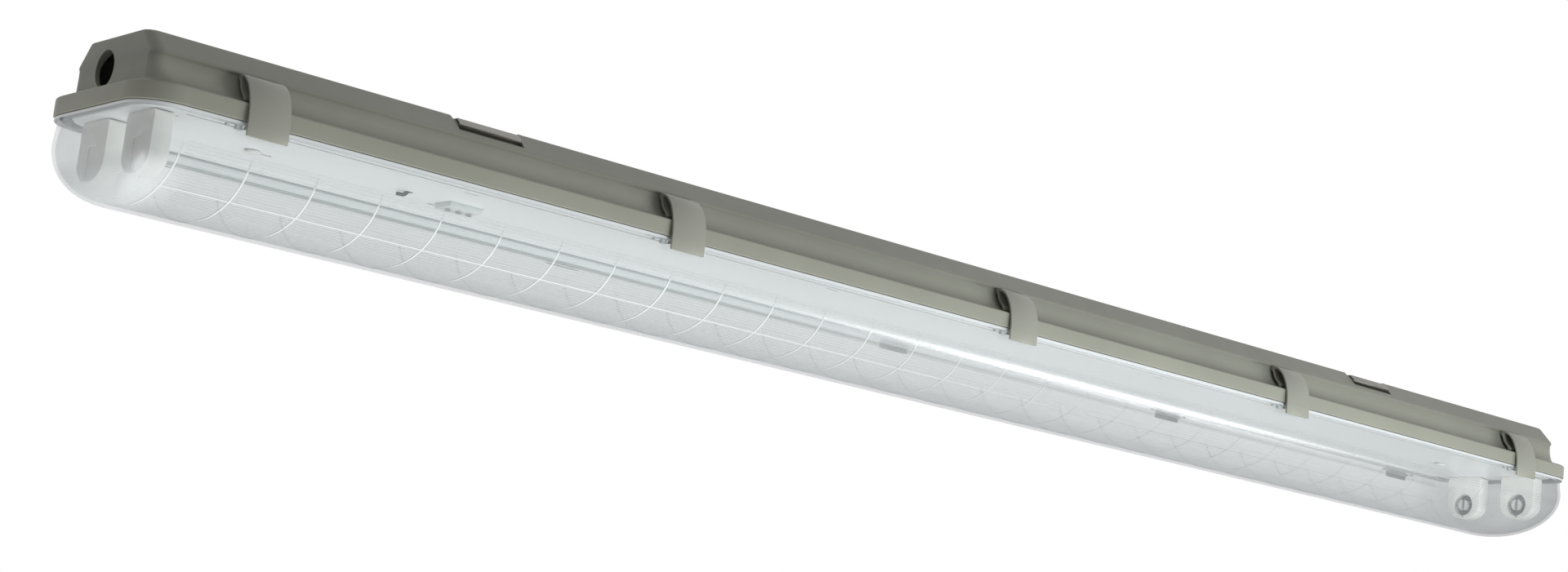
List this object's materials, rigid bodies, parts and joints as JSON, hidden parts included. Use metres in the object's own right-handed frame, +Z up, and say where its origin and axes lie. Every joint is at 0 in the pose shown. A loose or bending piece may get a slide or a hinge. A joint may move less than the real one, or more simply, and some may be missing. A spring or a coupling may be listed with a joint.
{
  "type": "vapor tight light fixture",
  "caption": "Long sealed ceiling luminaire: grey canopy with a clear deep diffuser held by side clips, white gear tray and lampholders for two straight lamps.",
  "frame": {"origin": "centre of the housing's flat top, where the luminaire meets the ceiling", "axes": "+X along the length towards the end with no cable entry, +Y across the width away from the picture's near side, +Z up towards the ceiling"},
  "size_m": [1.262, 0.1236, 0.0885],
  "materials": {
    "housing_grey": "fine satin texture, glass-filled polyester",
    "seal_foam": "foamed in place, matt",
    "clear_plastic": "clear moulded plastic with fine ribs",
    "white_steel": "white paint, satin",
    "clip_grey": "smooth olive-grey plastic",
    "holder_white": "smooth off-white plastic",
    "rotor_white": "smooth white plastic",
    "brass": "bare",
    "stainless": "rolled stainless sheet",
    "terminal_grey": "moulded polyamide",
    "ballast_case": "plain light sheet metal",
    "screw_steel": "zinc plated",
    "lead_white": "insulated wire",
    "lead_black": "insulated wire"
  },
  "bodies": {
    "luminaire": {"housing": "housing_grey", "seal": "seal_foam", "diffuser": "clear_plastic", "gear_tray": "white_steel", "lampholder_left_near": "holder_white", "lampholder_left_far": "holder_white", "lampholder_right_near": "holder_white", "lampholder_right_far": "holder_white", "contact_left_near_1": "brass", "contact_left_near_2": "brass", "contact_left_far_1": "brass", "contact_left_far_2": "brass", "contact_right_near_1": "brass", "contact_right_near_2": "brass", "contact_right_far_1": "brass", "contact_right_far_2": "brass", "terminal_block": "terminal_grey", "terminal_screw_1": "brass", "terminal_screw_2": "brass", "terminal_screw_3": "brass", "ballast": "ballast_case", "ballast_screw_left": "screw_steel", "ballast_screw_right": "screw_steel", "ceiling_bracket_left": "stainless", "ceiling_bracket_right": "stainless", "lead_supply": "lead_white", "lead_lamp_left_near": "lead_white", "lead_lamp_left_far": "lead_white", "lead_lamp_right_near": "lead_white", "lead_lamp_right_far": "lead_white", "lead_earth": "lead_black"},
    "near_clip_1": {"clip_near_1": "clip_grey"},
    "near_clip_2": {"clip_near_2": "clip_grey"},
    "near_clip_3": {"clip_near_3": "clip_grey"},
    "near_clip_4": {"clip_near_4": "clip_grey"},
    "near_clip_5": {"clip_near_5": "clip_grey"},
    "far_clip_1": {"clip_far_1": "clip_grey"},
    "far_clip_2": {"clip_far_2": "clip_grey"},
    "far_clip_3": {"clip_far_3": "clip_grey"},
    "far_clip_4": {"clip_far_4": "clip_grey"},
    "far_clip_5": {"clip_far_5": "clip_grey"},
    "left_near_rotor": {"rotor_left_near": "rotor_white"},
    "left_far_rotor": {"rotor_left_far": "rotor_white"},
    "right_near_rotor": {"rotor_right_near": "rotor_white"},
    "right_far_rotor": {"rotor_right_far": "rotor_white"},
    "left_catch": {"tray_catch_left": "rotor_white"},
    "right_catch": {"tray_catch_right": "rotor_white"}
  },
  "joints": [
    {"name": "near_clip_1_swing", "type": "hinge", "parent": "luminaire", "child": "near_clip_1", "pos_m": [-0.56, -0.0454, -0.0153], "axis": [-1, 0, 0], "range_deg": [0, 62]},
    {"name": "near_clip_2_swing", "type": "hinge", "parent": "luminaire", "child": "near_clip_2", "pos_m": [-0.28, -0.0454, -0.0153], "axis": [-1, 0, 0], "range_deg": [0, 62]},
    {"name": "near_clip_3_swing", "type": "hinge", "parent": "luminaire", "child": "near_clip_3", "pos_m": [0, -0.0454, -0.0153], "axis": [-1, 0, 0], "range_deg": [0, 62]},
    {"name": "near_clip_4_swing", "type": "hinge", "parent": "luminaire", "child": "near_clip_4", "pos_m": [0.28, -0.0454, -0.0153], "axis": [-1, 0, 0], "range_deg": [0, 62]},
    {"name": "near_clip_5_swing", "type": "hinge", "parent": "luminaire", "child": "near_clip_5", "pos_m": [0.56, -0.0454, -0.0153], "axis": [-1, 0, 0], "range_deg": [0, 62]},
    {"name": "far_clip_1_swing", "type": "hinge", "parent": "luminaire", "child": "far_clip_1", "pos_m": [-0.56, 0.0454, -0.0153], "axis": [1, 0, 0], "range_deg": [0, 62]},
    {"name": "far_clip_2_swing", "type": "hinge", "parent": "luminaire", "child": "far_clip_2", "pos_m": [-0.28, 0.0454, -0.0153], "axis": [1, 0, 0], "range_deg": [0, 62]},
    {"name": "far_clip_3_swing", "type": "hinge", "parent": "luminaire", "child": "far_clip_3", "pos_m": [0, 0.0454, -0.0153], "axis": [1, 0, 0], "range_deg": [0, 62]},
    {"name": "far_clip_4_swing", "type": "hinge", "parent": "luminaire", "child": "far_clip_4", "pos_m": [0.28, 0.0454, -0.0153], "axis": [1, 0, 0], "range_deg": [0, 62]},
    {"name": "far_clip_5_swing", "type": "hinge", "parent": "luminaire", "child": "far_clip_5", "pos_m": [0.56, 0.0454, -0.0153], "axis": [1, 0, 0], "range_deg": [0, 62]},
    {"name": "left_near_rotor_turn", "type": "hinge", "parent": "luminaire", "child": "left_near_rotor", "pos_m": [-0.6025, -0.025, -0.0635], "axis": [1, 0, 0], "range_deg": [0, 90]},
    {"name": "left_far_rotor_turn", "type": "hinge", "parent": "luminaire", "child": "left_far_rotor", "pos_m": [-0.6025, 0.025, -0.0635], "axis": [1, 0, 0], "range_deg": [0, 90]},
    {"name": "right_near_rotor_turn", "type": "hinge", "parent": "luminaire", "child": "right_near_rotor", "pos_m": [0.6025, -0.025, -0.0635], "axis": [1, 0, 0], "range_deg": [0, 90]},
    {"name": "right_far_rotor_turn", "type": "hinge", "parent": "luminaire", "child": "right_far_rotor", "pos_m": [0.6025, 0.025, -0.0635], "axis": [1, 0, 0], "range_deg": [0, 90]},
    {"name": "left_catch_turn", "type": "hinge", "parent": "luminaire", "child": "left_catch", "pos_m": [-0.534, 0, -0.0413], "axis": [0, 0, 1], "range_deg": [0, 90]},
    {"name": "right_catch_turn", "type": "hinge", "parent": "luminaire", "child": "right_catch", "pos_m": [0.534, 0, -0.0413], "axis": [0, 0, 1], "range_deg": [0, 90]}
  ]
}
